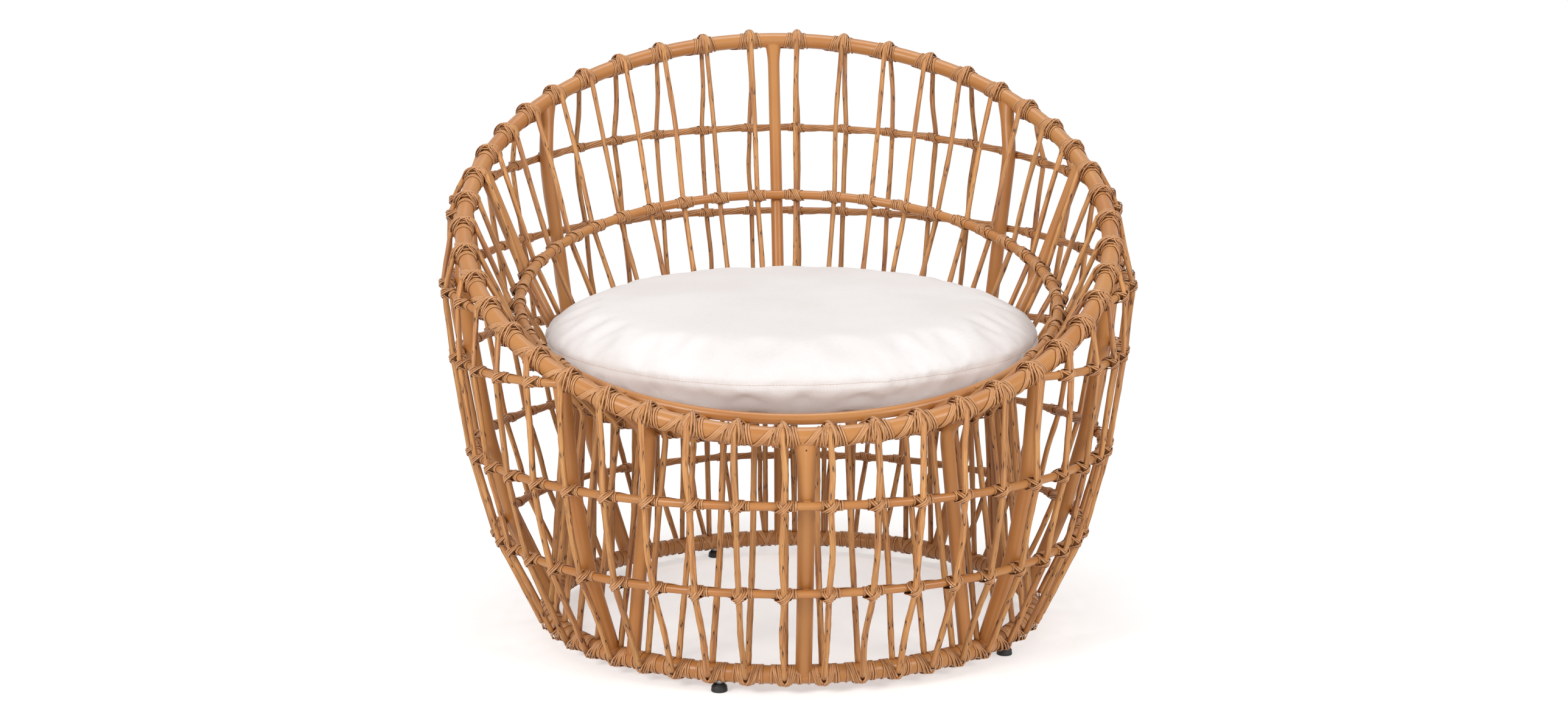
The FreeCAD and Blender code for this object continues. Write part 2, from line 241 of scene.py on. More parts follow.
def add(owner, kind, links=(), **settings):
    """A shader node with its settings; links give an input a socket or a constant."""
    node = owner.node_tree.nodes.new("ShaderNode" + kind)
    for key, value in settings.items():
        if key in node.inputs.keys():
            node.inputs[key].default_value = value
        else:
            setattr(node, key, value)
    for source, target in links:
        if isinstance(source, bpy.types.NodeSocket):
            join(owner, source, node, target)
        else:
            node.inputs[target].default_value = source
    return node


def join(owner, source, node, target):
    owner.node_tree.links.new(source, node.inputs[target])


def noise(material, place, scale=1.0, detail=2.0, output="Fac"):
    return add(material, "TexNoise", [(place, "Vector")], Scale=scale, Detail=detail).outputs[output]


def ramp(material, source, stops):
    """Colours that a value fades through, at its stops."""
    node = add(material, "ValToRGB", [(source, 0)])
    node.color_ramp.interpolation = "EASE"
    while len(node.color_ramp.elements) < len(stops):
        node.color_ramp.elements.new(1)
    for element, (place, code) in zip(node.color_ramp.elements, stops):
        element.position = place
        element.color = colour(code)
    return node.outputs[0]


def bumped(material, shader, height, strength, distance):
    bump = add(material, "Bump", [(height, "Height")], Strength=strength, Distance=distance)
    join(material, bump.outputs[0], shader, "Normal")


def powder_coat():
    """Polyester powder coat on steel tube: satin, even in colour, with the slight
    orange peel of a baked coat that softens its highlights."""
    material, shader = new_material("satin_powder_coat", Roughness=0.34, IOR=1.5)
    place = add(material, "TexCoord").outputs["Object"]
    tint = ramp(material, noise(material, place, 9.0), [(0.3, "B37337"), (0.7, "BE8246")])
    join(material, tint, shader, "Base Color")
    bumped(material, shader, noise(material, place, 1 / (2.5 * MM), 1.0), 0.05, 0.3 * MM)
    return material


rim = Ring(RIM_RADIUS, RIM_HEIGHT, RIM_SLOPE, RIM_THICKNESS, RIM_SETBACK)
coat = powder_coat()
FULL_TURN = np.linspace(0, 2 * np.pi, 241)


def ring_run(ring, azimuths=FULL_TURN):
    _, outward, _ = ring.axes(azimuths)
    return ring.at(azimuths) + HUB, outward, np.full(len(azimuths), ring.tube)


def coated(name, runs, sides, *nodes):
    """A piece of the welded frame."""
    piece(name, swept_mesh(name, runs, round_section(sides)), coat, "coated_tube", "basket", *nodes)


TUBE_SIDES = 24
coated("rim", [ring_run(rim)], TUBE_SIDES, "rim_tube")


# Base ring: the same tube, level, on five levelling feet. Both walls start on it.

BASE_RADIUS = 295 * MM
BASE_THICKNESS = 20 * MM

base = Ring(BASE_RADIUS, 0, 0, BASE_THICKNESS)
coated("base", [ring_run(base)], TUBE_SIDES, "base_ring")


# Hoops of the outer wall: 9 mm steel rod inside the poles. The two lowest are
# closed; the others run round the sides and back, and their ends are welded to the
# rim where it passes them.

HOOP = 9 * MM
ROD_SIDES = 14
STRANDS = 46
PITCH = 2 * math.pi / STRANDS

low = Ring(351 * MM, 106 * MM, 0, HOOP)
middle = Ring(377 * MM, 206 * MM, 0, HOOP)
arm = Ring(393 * MM, 318 * MM, 0, HOOP)
rear = Ring(402 * MM, 403 * MM, math.radians(6.4), HOOP)
top = Ring(410 * MM, 474 * MM, math.radians(12.4), HOOP)
ARCS = {"arm": arm, "rear": rear, "top": top}


def meeting_azimuth(arc):
    """Where a hoop that runs only round the back comes level with the rim."""
    azimuths = np.linspace(0, np.pi, 20001)
    above = rim.plain(azimuths)[:, 2] > arc.plain(azimuths)[:, 2]
    return azimuths[np.argmax(above)]


for arc in ARCS.values():
    arc.starts = meeting_azimuth(arc) + PITCH / 2

for name, hoop in (("low", low), ("middle", middle)):
    coated(name + "_hoop_rod", [ring_run(hoop)], ROD_SIDES, name + "_hoop")
for name, arc in ARCS.items():
    azimuths = np.linspace(arc.starts, 2 * np.pi - arc.starts, 200)
    points, outward, sizes = ring_run(arc, azimuths)
    points[0] = rim.at(azimuths[0]) + HUB
    points[-1] = rim.at(azimuths[-1]) + HUB
    coated(name + "_hoop_rod", [(points, outward, sizes)], ROD_SIDES, name + "_hoop")


# Inner wall: a hoop halfway up the basket and the seat ring that carries the bars,
# both of round tube, each closed by a weld.

INNER_SIDES = 16
inner = Ring(322 * MM, 381 * MM, math.radians(16.4), 12 * MM)
seat = Ring(258 * MM, 270 * MM, math.radians(3.6), 16 * MM)
for name, ring in (("inner_hoop", inner), ("seat_ring", seat)):
    coated(name + "_tube", [ring_run(ring)], INNER_SIDES, name)


# Poles: peeled willow, dried and stained a warm tan. Each one thickens a little
# at its buds, which leave dark scars, and is bent round the hoops.

STRAND = 6.5 * MM
TIP_RADIUS = 1.6 * MM
LASHING = 0.6 * MM
POLE_SIDES = 10
TIP_STATIONS = 12
FOOT_SHORT = 7 * MM
BOW_MM = 3.2
BOWED_LEG = 60 * MM
BUD_STEP = 0.11
BUD_LENGTH = 0.012
OUTER_HOOPS = [low, middle, arm, rear, top]


def crosses(ring, azimuth):
    """Whether a pole at this azimuth meets the hoop below the rim."""
    if ring.starts is None:
        return True
    aside = abs(math.remainder(azimuth, 2 * math.pi))
    gap = rim.at(azimuth)[2] - ring.at(azimuth)[2]
    return aside > ring.starts + PITCH / 4 and gap > ring.tube + STRAND


def hoops_met(azimuth):
    return [hoop for hoop in OUTER_HOOPS if crosses(hoop, azimuth)]


def route(azimuth, stops):
    """Corner points of a pole or post that passes each stop (ring, how far beside
    its centre line), in its own upright plane."""
    spots = [ring.at(azimuth) for ring, _ in stops]
    turns = [math.atan2(spot[0], -spot[1]) for spot in spots]
    rings = np.array([(math.hypot(spot[0], spot[1]), spot[2]) for spot in spots])
    path = rings.copy()
    for _ in range(4):
        moved = []
        for i, (_, beside) in enumerate(stops):
            leg_in = path[i] - path[max(i - 1, 0)]
            leg_out = path[min(i + 1, len(path) - 1)] - path[i]
            along = unit(leg_in + leg_out)
            out = np.array([along[1], -along[0]])
            inwards = leg_in[0] * leg_out[1] - leg_in[1] * leg_out[0]
            if inwards * beside > 0:
                beside /= unit(leg_out) @ along
            moved.append(rings[i] + out * beside)
        path = np.array(moved)
    return np.array([(r * math.sin(a), -r * math.cos(a), z) for (r, z), a in zip(path, turns)])


def lengthened(points, first, last):
    head = unit(points[0] - points[1]) * first
    tail = unit(points[-1] - points[-2]) * last
    return np.concatenate([[points[0] + head], points[1:-1], [points[-1] + tail]])


def bent(points, step=5 * MM, softness=12 * MM):
    """A path through corner points with its bends rounded."""
    lengths = measured(points)
    stations = np.linspace(0, lengths[-1], max(8, int(lengths[-1] / step)))
    shifts = np.linspace(-softness, softness, 9)
    weights = 1 - np.abs(shifts) / softness * 0.8
    path = 0
    for shift, weight in zip(shifts, weights):
        reach = np.minimum(stations, lengths[-1] - stations)
        moved = stations + shift * np.clip(reach / softness, 0, 1)
        path = path + weight * np.stack([np.interp(moved, lengths, points[:, i]) for i in range(3)], -1)
    return path / weights.sum()


def outer_route(azimuth):
    rings = [base, *hoops_met(azimuth), rim]
    stops = [(ring, ring.tube + LASHING + STRAND / 2) for ring in rings]
    return lengthened(route(azimuth, stops), -FOOT_SHORT, 0)


def inner_route(azimuth):
    stops = [(base, 0), (seat, seat.tube + LASHING + STRAND / 2),
             (inner, inner.tube + LASHING + STRAND / 2),
             (rim, -(rim.tube + LASHING + STRAND / 2))]
    return lengthened(route(azimuth, stops), -base.tube, 0)


def foot_of(ring, azimuth, spot):
    """Where a spot by a ring lies round its tube, as an angle: 0 outwards, up from there."""
    _, outward, up = ring.axes(azimuth)
    away = spot - ring.at(azimuth)
    return math.atan2(away @ up, away @ outward)


def facing(azimuth):
    """The level direction out from the chair's axis."""
    return np.array([math.sin(azimuth), -math.cos(azimuth), 0])


def pole_run(azimuth, corners, rng, tip_turn, tip_limit):
    """Stations of a pole through its corners, a little bowed on its long legs, whose
    end is shaved and laid over the rim."""
    path = bent(corners)
    across = np.array([math.cos(azimuth), math.sin(azimuth), 0])
    lengths = measured(corners)
    stations = np.linspace(0, lengths[-1], len(path))
    leg = np.clip(np.searchsorted(lengths, stations, side="right") - 1, 0, len(corners) - 2)
    reach = (stations - lengths[leg]) / np.diff(lengths)[leg]
    is_long = np.diff(lengths, append=lengths[-1]) > BOWED_LEG
    bows = rng.uniform(-BOW_MM, BOW_MM, len(corners)) * MM * is_long
    path = path + across * (bows[leg] * np.sin(np.pi * reach) ** 2)[:, None]

    sizes = np.full(len(path), STRAND / 2)
    start = foot_of(rim, azimuth, corners[-1])
    stop = start + tip_turn
    stop = min(stop, tip_limit) if tip_turn > 0 else max(stop, tip_limit)
    if abs(stop - start) > 0.2 and (stop - start) * tip_turn > 0:
        turns = np.linspace(start, stop, TIP_STATIONS)[1:, None]
        _, rim_out, rim_up = rim.axes(azimuth)
        thin = np.linspace(STRAND / 2, TIP_RADIUS, TIP_STATIONS)[1:]
        reach = rim.tube + LASHING + thin
        tip = (np.cos(turns) * rim_out + np.sin(turns) * rim_up) * reach[:, None]
        path = np.concatenate([path, rim.at(azimuth) + tip])
        sizes = np.concatenate([sizes, thin])
    share = np.linspace(0, 1, len(path))
    sizes = sizes * (1.05 - 0.08 * share) * rng.uniform(0.95, 1.07)
    for bud in np.arange(rng.uniform(0.02, 0.12), 0.92, BUD_STEP):
        sizes = sizes * (1 + 0.1 * np.exp(-((share - bud) / BUD_LENGTH) ** 2))
    return path + HUB, np.tile(facing(azimuth), (len(path), 1)), sizes


def maths(owner, operation, *terms, kind="Math"):
    """What a maths node makes of sockets and constants."""
    return add(owner, kind, zip(terms, range(3)), operation=operation).outputs[0]


def stretched(material, place, *factors):
    return maths(material, "MULTIPLY", place, factors, kind="VectorMath")


def ranged(owner, value, low, high, start=0.0, stop=1.0, **settings):
    """A value whose run from `start` to `stop` becomes one from `low` to `high`."""
    limits = zip((start, stop, low, high), ("From Min", "From Max", "To Min", "To Max"))
    return add(owner, "MapRange", [(value, 0), *limits], **settings).outputs[0]


def multiplied(material, first, second):
    return add(material, "Mix", [(first, "A"), (second, "B"), (1.0, "Factor")],
               data_type="RGBA", blend_type="MULTIPLY").outputs["Result"]


def marked(material, surface, code, share):
    """A surface's colour with marks of another one."""
    return add(material, "Mix", [(surface, "A"), (colour(code), "B"), (share, "Factor")],
               data_type="RGBA").outputs["Result"]


def run_uv(material):
    return add(material, "UVMap", uv_map="UVMap").outputs[0]


def run_number(material):
    return add(material, "Attribute", attribute_name="run").outputs["Fac"]


def along_pole(material, length_mm, width_mm):
    """Coordinates that stretch a pattern along a pole and close it round the pole,
    shifted for each one."""
    split = add(material, "SeparateXYZ", [(run_uv(material), 0)])
    turn = maths(material, "MULTIPLY", split.outputs["Y"], 2 * math.pi)
    parts = (split.outputs["X"], maths(material, "COSINE", turn), maths(material, "SINE", turn))
    place = add(material, "CombineXYZ", zip(parts, "XYZ")).outputs[0]
    across = STRAND / 2 / (width_mm * MM)
    scaled = stretched(material, place, 1 / (length_mm * MM), across, across)
    shift = stretched(material, run_number(material), 7.31, 3.17, 5.93)
    return maths(material, "ADD", scaled, shift, kind="VectorMath")


def willow():
    """Peeled and stained willow: a satin surface with long fibres, reddish brown where
    the stain soaked in, and long dark loops, pointed at one end, where leaves and side
    shoots were stripped off."""
    material, shader = new_material("peeled_willow", Roughness=0.5, IOR=1.5)
    grain = noise(material, along_pole(material, 80, 3.4), 1.0, 4.0)
    wood = ramp(material, grain,
                [(0.24, "7C5038"), (0.37, "B07648"), (0.52, "CC9256"), (0.74, "DAA462")])
    fine = noise(material, along_pole(material, 22, 0.7))
    fibre = ramp(material, fine, [(0.35, "E2D6CE"), (0.6, "FFFFFF")])
    tone = add(material, "TexWhiteNoise", [(run_number(material), "W")], noise_dimensions="1D")
    shade = ranged(material, tone.outputs[0], 0.88, 1.06)
    toned = multiplied(material, multiplied(material, wood, fibre), shade)

    wander = noise(material, along_pole(material, 9, 2.0), 1.0, 1.0, "Color")
    place = maths(material, "MULTIPLY_ADD", wander, (0.1, 0.35, 0.35),
                  along_pole(material, 33, 3.0), kind="VectorMath")
    cells = add(material, "TexVoronoi", [(place, "Vector")], feature="F1", Scale=1.0, Randomness=0.9)
    loop = ramp(material, cells.outputs["Distance"],
                [(0.31, "000000"), (0.36, "FFFFFF"), (0.41, "FFFFFF"), (0.47, "000000")])
    from_centre = maths(material, "SUBTRACT", place, cells.outputs["Position"], kind="VectorMath")
    ahead = add(material, "SeparateXYZ", [(from_centre, 0)]).outputs["X"]
    chance = add(material, "SeparateColor", [(cells.outputs["Color"], 0)])
    way = ranged(material, chance.outputs[0], -1, 1, 0.49, 0.51)
    point = ranged(material, maths(material, "MULTIPLY", ahead, way), 0, 1, 0.02, 0.25)
    there = ranged(material, chance.outputs[1], 0, 1, 0.1, 0.11)
    cut = maths(material, "MULTIPLY", loop, maths(material, "MULTIPLY", point, there))
    join(material, marked(material, toned, "4A2610", cut), shader, "Base Color")
    bumped(material, shader, maths(material, "MULTIPLY_ADD", cut, -0.8, grain), 0.5, 0.5 * MM)
    return material


willow_stain = willow()
rng = np.random.default_rng(7)
AZIMUTHS = [(k + 0.5) * PITCH for k in range(STRANDS)]
SECTORS = ["front_right", "side_front_right", "side_rear_right", "back_right",
           "back_left", "side_rear_left", "side_front_left", "front_left"]
TIP = math.radians(95)
for wall, wall_route, tip_turn, tip_limit in (
        ("outer", outer_route, TIP, math.radians(93)),
        ("inner", inner_route, -TIP, math.radians(87))):
    sectors = {sector: [] for sector in SECTORS}
    for azimuth in AZIMUTHS:
        sector = SECTORS[int(azimuth / (math.pi / 4))]
        sectors[sector].append(pole_run(azimuth, wall_route(azimuth), rng, tip_turn, tip_limit))
    for sector, runs in sectors.items():
        node = "%s_strands_%s" % (wall, sector)
        piece(node.replace("strands", "poles"), swept_mesh(node, runs, round_section(POLE_SIDES)),
              willow_stain, "rattan_pole", "basket", node)


# Posts: steel tube welded upright between the base ring and the rim, inside the
# hoops of the outer wall and outside those of the inner one. Each tube's top end is
# squeezed wider along the rim and welded all round, and each hoop is tacked to it.

POST = 9 * MM
INNER_POST = 8 * MM
FLARE = 0.42
SQUEEZE = 0.12
FLARE_LENGTH = 20 * MM
VENT = 0.9 * MM
BEAD_SIDES = 6
CLEARANCE = 0.3 * MM
OUTER_POSTS = {"post_front": 0, "post_front_right": 45, "post_side_right": 90, "post_back_right": 135,
               "post_back_left": -135, "post_side_left": -90, "post_front_left": -45}
INNER_POSTS = {"inner_post_front_right": 5, "inner_post_rear_right": 14, "inner_post_back": 23,
               "inner_post_rear_left": -14, "inner_post_front_left": -5}


def flared(radius, left):
    """Half width and half depth of a post at a distance from its top end."""
    share = np.exp(-(left / FLARE_LENGTH) ** 2)
    return radius * np.stack([1 + FLARE * share, 1 - SQUEEZE * share], -1)


def post_run(azimuth, corners, radius):
    path = bent(corners, softness=20 * MM)
    left = np.linspace(1, 0, len(path)) * np.linalg.norm(np.diff(path, axis=0), axis=1).sum()
    return path + HUB, np.tile(facing(azimuth), (len(path), 1)), flared(radius, left)


def weld_bead(ring, azimuth, corners, radius, rng):
    """The seam where a post ends on a tube: it follows both surfaces."""
    along, _, _ = ring.axes(azimuth)
    onto = unit(corners[0] - corners[1])
    aside = unit(np.cross(along, onto))
    turn = np.linspace(0, 2 * np.pi, 41)
    across = radius[1] * np.sin(turn)
    depth = np.sqrt(ring.tube ** 2 - across ** 2)
    run = (ring.at(azimuth) + HUB + np.outer(radius[0] * np.cos(turn), along)
           + np.outer(across, aside) - np.outer(depth, onto))
    lumps = 1 + 0.22 * np.sin(turn * 17 + rng.uniform(0, 6)) + 0.12 * np.sin(turn * 5)
    return run, np.tile(-onto, (len(turn), 1)), 0.85 * MM * lumps


def tack_welds(ring, azimuth, inside, rng):
    """A short bead above and one below a hoop, where a post stands against it."""
    along, outward, up = ring.axes(azimuth)
    reach = np.linspace(-1, 1, 9)
    for way in (-1, 1):
        notch = ring.at(azimuth) - inside * outward * ring.tube * 0.9 + way * up * ring.tube * 0.72
        run = notch + HUB + np.outer(reach * rng.uniform(4, 6) * MM, along)
        lumps = 1 + 0.15 * np.sin(reach * 9 + rng.uniform(0, 6))
        size = (0.4 + 1.6 * np.sqrt(1 - reach ** 2)) * MM * lumps
        yield run, np.tile(up, (len(reach), 1)), size


def passed_through(mesh, modifier, **settings):
    """The mesh as one modifier leaves it."""
    thing = placed(mesh.name, mesh)
    added = thing.modifiers.new(modifier, modifier)
    for key, value in settings.items():
        setattr(added, key, value)
    graph = bpy.context.evaluated_depsgraph_get()
    result = bpy.data.meshes.new_from_object(thing.evaluated_get(graph))
    bpy.data.objects.remove(thing)
    return result


def vented(mesh, corners, radius):
    """The post with the small hole, close under its weld, that lets the gas out."""
    down = unit(corners[-2] - corners[-1])
    spot = corners[-1] + HUB + down * (rim.tube + 2.4 * MM) + np.array([0, -radius * (1 - SQUEEZE), 0])
    bm = bmesh.new()
    bmesh.ops.create_cone(bm, cap_ends=True, segments=20, radius1=VENT, radius2=VENT, depth=8 * MM)
    drill = made(bm, "drill")
    drill.transform(Matrix.Translation(Vector(spot)) @ Matrix.Rotation(math.pi / 2, 4, "X"))
    cutter = placed("drill", drill)
    drilled = passed_through(mesh, "BOOLEAN", object=cutter, operation="DIFFERENCE", solver="EXACT")
    bpy.data.objects.remove(cutter)
    drilled.set_sharp_from_angle(angle=math.radians(50))
    return drilled


beads = []
for node, place in list(OUTER_POSTS.items()) + list(INNER_POSTS.items()):
    if node.startswith("inner"):
        azimuth, radius = place * PITCH, INNER_POST
        stops = [(base, 0), (seat, seat.tube + CLEARANCE + radius),
                 (inner, inner.tube + CLEARANCE + radius), (rim, 0)]
        for hoop in (seat, inner):
            beads += tack_welds(hoop, azimuth, -1, rng)
    else:
        azimuth, radius = math.radians(place), POST
        stops = [(base, 0)]
        for hoop in hoops_met(azimuth):
            stops.append((hoop, -(hoop.tube + CLEARANCE + radius)))
            beads += tack_welds(hoop, azimuth, 1, rng)
        stops.append((rim, 0))
    corners = route(azimuth, stops)
    tube = swept_mesh(node, [post_run(azimuth, corners, radius)], round_section(TUBE_SIDES))
    if node == "post_front":
        tube = vented(tube, corners, radius)
    piece(node + "_tube", tube, coat, "coated_tube", "basket", node)
    beads.append(weld_bead(rim, azimuth, corners[::-1], flared(radius, rim.tube), rng))
    beads.append(weld_bead(base, azimuth, corners, (radius * 1.02, radius * 0.98), rng))
coated("weld_beads", beads, BEAD_SIDES)


# Seat bars: four straight tubes welded on the seat ring from front to back.

BAR = 6.5 * MM
BAR_SIDES = 20
bars = []
for x in np.array([-165, -55, 55, 165]) * MM:
    reach = math.sqrt(seat.radius ** 2 - x ** 2) + seat.tube / 2
    y = np.array([-reach, -reach / 2, 0, reach / 2, reach])
    z = seat.height + seat.rise * y + seat.tube + LASHING + BAR
    points = np.stack([np.full(len(y), x), y, z], -1) + HUB
    bars.append((points, np.tile([0, 0, 1.0], (len(y), 1)), np.full(len(y), BAR)))
coated("seat_bar_tubes", bars, BAR_SIDES, "seat_bars")


# Lashings: split rattan cane, flat below and rounded on top, wound wet round each
# crossing. Over a hoop three turns cross the pole one way on top of two the other
# way, and three canes wind on along the hoop's inner side to the next crossing.

CANE_WIDTH = 2.7 * MM
CANE = 1.2 * MM
CANE_STEP = 2.7
CANE_SECTION = np.array([(-1, -0.5), (-0.6, 0.8), (0.6, 0.8), (1, -0.5)])


def cane_run(ring, azimuth, along_mm, out, up, lean=0.0):
    """Stations of a cane beside one crossing, from its place along the tube and in
    the tube's cross section."""
    pace = np.linalg.norm(ring.at(azimuth + 0.01) - ring.at(azimuth - 0.01)) / 0.02
    turn = azimuth + (along_mm * MM + lean * up) / pace
    _, outward, rise = ring.axes(turn)
    away = out[:, None] * outward + up[:, None] * rise
    size = np.tile([CANE_WIDTH / 2, CANE / 2], (len(turn), 1))
    return ring.at(turn) + away + HUB, unit(away), size


def turned_to(angle, out, up):
    return (out * math.cos(angle) - up * math.sin(angle), out * math.sin(angle) + up * math.cos(angle))


def crossing(ring, azimuth, side, lean, slant, aside, layer):
    """One turn over the pole at a slant and round the tube's back. `side` is where
    the pole lies round the tube."""
    hold = ring.tube + (0.5 + layer) * CANE
    crest = ring.tube + LASHING + STRAND + (0.3 + layer) * CANE
    leaves = math.acos(hold / crest)
    front = np.radians([-90, -58, -30, 0, 30, 58, 90])
    out = hold * math.cos(leaves) * (1 - np.cos(front)) + crest * np.cos(front)
    up = hold * math.sin(leaves) * np.sin(front) + aside * MM * np.cos(front)
    along_mm = slant * np.sin(front) - math.copysign(aside, slant * aside) * np.sin(front) ** 2
    back = np.linspace(leaves, 2 * np.pi - leaves, 9)[1:]
    out = np.concatenate([out, hold * np.cos(back)])
    up = np.concatenate([up, hold * np.sin(back)])
    along_mm = np.concatenate([along_mm, np.linspace(along_mm[-1], along_mm[0], 9)[1:]])
    out[-1], up[-1], along_mm[-1] = out[0], up[0], along_mm[0]
    return cane_run(ring, azimuth, along_mm, *turned_to(side, out, up), lean)


def wound(ring, azimuth, along_mm, angle, hold, lean=0.0):
    """Stations of a cane wound round a tube, `hold` from its centre line."""
    return cane_run(ring, azimuth, along_mm, hold * np.cos(angle), hold * np.sin(angle), lean)


def plain_turn(ring, azimuth, place, tilt, stations=12):
    """One upright turn round the tube beside the pole."""
    turn = np.linspace(0, 2 * np.pi, stations)
    return wound(ring, azimuth, place + tilt * np.sin(turn), turn, ring.tube + 0.5 * CANE)


def trail(ring, azimuth, first, last, start, stop):
    """A cane that winds on along the tube, from one angle round it to another."""
    share = np.linspace(0, 1, 10)
    turn = np.radians(start + (stop - start) * share)
    return wound(ring, azimuth, first + (last - first) * share, turn, ring.tube + 0.5 * CANE)


def pole_at(ring, azimuth, corners, index):
    """Where round a tube its pole lies, and how it leans along the tube."""
    along, _, up = ring.axes(azimuth)
    run = unit(corners[min(index + 1, len(corners) - 1)] - corners[max(index - 1, 0)])
    return foot_of(ring, azimuth, corners[index]), (run @ along) / (run @ up)


def gap_to_next(ring, azimuth):
    return np.linalg.norm(ring.at(azimuth + PITCH) - ring.at(azimuth)) / MM


def hoop_lashing(ring, azimuth, side, lean, rng, reach=5.8, under=2, over=3, beside=3, trails=True):
    """Crossings that slant `reach` to either side, and turns beside them."""
    shift = rng.uniform(-0.5, 0.5)
    slant = reach + rng.uniform(-0.6, 0.6)
    for k in range(under):
        yield crossing(ring, azimuth, side, lean, -slant, CANE_STEP * (k - (under - 1) / 2), 0)
    for k in range(over):
        yield crossing(ring, azimuth, side, lean, slant + shift, CANE_STEP * (k - (over - 1) / 2), 1)
    for k in range(beside):
        yield plain_turn(ring, azimuth, reach + 0.8 + CANE_STEP * k + shift, rng.uniform(-0.5, 0.5))
    if rng.random() < 0.7:
        yield plain_turn(ring, azimuth, -reach - 1.6 + shift, rng.uniform(-0.5, 0.5))
    if trails:
        far = gap_to_next(ring, azimuth)
        twist = rng.uniform(80, 140)
        for k in range(3):
            start = 92 + 29 * k
            yield trail(ring, azimuth, 7, far - 6, start, start + twist)


def split_cane():
    """Split cane, the peel side out: a dull sheen on fine lengthwise fibres, warm tan
    with a few specks, and dark along both cut edges, partly where the stain soaked in
    and partly as painted shade where the canes lie against each other."""
    material, shader = new_material("split_cane", Roughness=0.42, IOR=1.5)
    uv = run_uv(material)
    shift = stretched(material, run_number(material), 0.13, 0, 5.9)
    place = maths(material, "ADD", uv, shift, kind="VectorMath")
    grain = noise(material, stretched(material, place, 1 / (24 * MM), 14, 1), 1.0, 3.0)
    cane = ramp(material, grain,
                [(0.3, "9C663E"), (0.45, "BE8452"), (0.6, "D09A66"), (0.75, "DEB082")])
    across = add(material, "SeparateXYZ", [(uv, 0)]).outputs["Y"]
    # Stain and painted shade: both cut edges and the flat underside are darkened, partly for stain in
    # the cuts and partly for the shade where canes meet their neighbours.
    edge = ramp(material, across,
                [(0.04, "9A7A64"), (0.2, "FFFFFF"), (0.54, "FFFFFF"), (0.71, "9A7A64")])
    specks = stretched(material, place, 1 / (9 * MM), 2.4, 1)
    cells = add(material, "TexVoronoi", [(specks, "Vector")], Scale=1.0, Randomness=1.0)
    speck = ramp(material, cells.outputs["Distance"], [(0.08, "FFFFFF"), (0.14, "000000")])
    surface = marked(material, multiplied(material, cane, edge), "3E2619", speck)
    join(material, surface, shader, "Base Color")
    bumped(material, shader, grain, 0.3, 0.2 * MM)
    return material


cane_stain = split_cane()


def lashings(name, canes):
    piece(name, swept_mesh(name, canes, CANE_SECTION), cane_stain, "rattan_pole", "basket")


rng = np.random.default_rng(11)
for name, hoop in (("low", low), ("middle", middle), ("arm", arm), ("rear", rear), ("top", top)):
    canes = []
    for azimuth in AZIMUTHS:
        if not crosses(hoop, azimuth):
            continue
        corners = outer_route(azimuth)
        met = hoops_met(azimuth).index(hoop) + 1
        side, lean = pole_at(hoop, azimuth, corners, met)
        carry_on = crosses(hoop, azimuth + PITCH)
        canes += hoop_lashing(hoop, azimuth, side, lean, rng, trails=carry_on)
    lashings(name + "_hoop_lashings", canes)

BARE_FRONT = math.radians(52)
for name, ring, met, counts in (
        ("inner_hoop", inner, 2, dict(reach=7.4, under=3, over=3, beside=3, trails=False)),
        ("seat_ring", seat, 1, dict(reach=5.8, under=2, over=2, beside=1))):
    canes = []
    for azimuth in AZIMUTHS:
        if ring is inner and abs(math.remainder(azimuth, 2 * math.pi)) < BARE_FRONT:
            continue
        side, lean = pole_at(ring, azimuth, inner_route(azimuth), met)
        canes += hoop_lashing(ring, azimuth, side, lean, rng, **counts)
    lashings(name + "_lashings", canes)


# Base ring's lashings: beside each pole four nested canes come down on either side,
# cross under its foot and go on round the back, with plain turns next to them.

def over_foot(along_mm, angle):
    """How far a pole's foot lifts a cane off the base ring."""
    height = np.interp(angle, [-58, -35, -15, 5, 20], [0, 5, 7, 7, 0]) * MM
    return height * np.cos(np.clip(along_mm / 6.5, -1, 1) * np.pi / 2)


def under_foot(azimuth, lean, way, half, bottom, layer):
    """A turn of the base ring that comes down beside a pole, crosses under its foot
    `bottom` degrees down the ring's face and goes on round the back."""
    angle = np.array([-90, -75, -60, -45, -30, -15, 0, 20, 45, 70, 95,
                      125, 155, 185, 215, 245, 270])
    above = (angle + bottom) / (84 + bottom)
    along_mm = way * half * np.sign(above) * np.abs(above) ** 0.4
    along_mm = np.where(angle > 84, np.interp(angle, [84, 270], [way * half, along_mm[0]]), along_mm)
    angle = np.where(angle > 180, angle - 360, angle)
    crowd = layer * CANE * np.exp(-((angle + 55) / 38) ** 2)
    hold = base.tube + 0.5 * CANE + crowd + over_foot(along_mm, angle)
    return wound(base, azimuth, along_mm, np.radians(angle), hold, lean)


canes = []
for azimuth in AZIMUTHS:
    _, lean = pole_at(base, azimuth, outer_route(azimuth), 0)
    for k in range(4):
        for way in (-1, 1):
            on_top = 0.8 if (way > 0) == (k % 2 == 0) else 0
            half = 6.4 + 2.4 * k + rng.uniform(-0.4, 0.4)
            canes.append(under_foot(azimuth, lean, way, half, 30 + 13 * k, 0.3 * k + on_top))
    for place in (-14.2, 13.6, 16.2):
        canes.append(plain_turn(base, azimuth, place + rng.uniform(-0.4, 0.4),
                                rng.uniform(-1, 1), stations=15))
lashings("base_lashings", canes)


# Rim lashings: arches of cane over the shaved pole ends, on the outside and on the
# inside, two pairs crossed on top, turns on the right, and three canes that slant up
# across the rim's face to the next pole.

def over_poles(along_mm, angle):
    """How far the pole ends lift a cane off the rim."""
    height = np.interp(np.degrees(angle), [-70, -20, 20, 70, 90, 110, 160, 200, 250],
                       [0, 6.6, 6.6, 4.2, 3.4, 4.2, 6.6, 6.6, 0]) * MM
    spread = np.interp(np.degrees(angle), [20, 60, 90, 120, 160], [8, 6.2, 5.6, 6.2, 8])
    return height * np.cos(np.clip(along_mm / spread, -1, 1) * np.pi / 2)


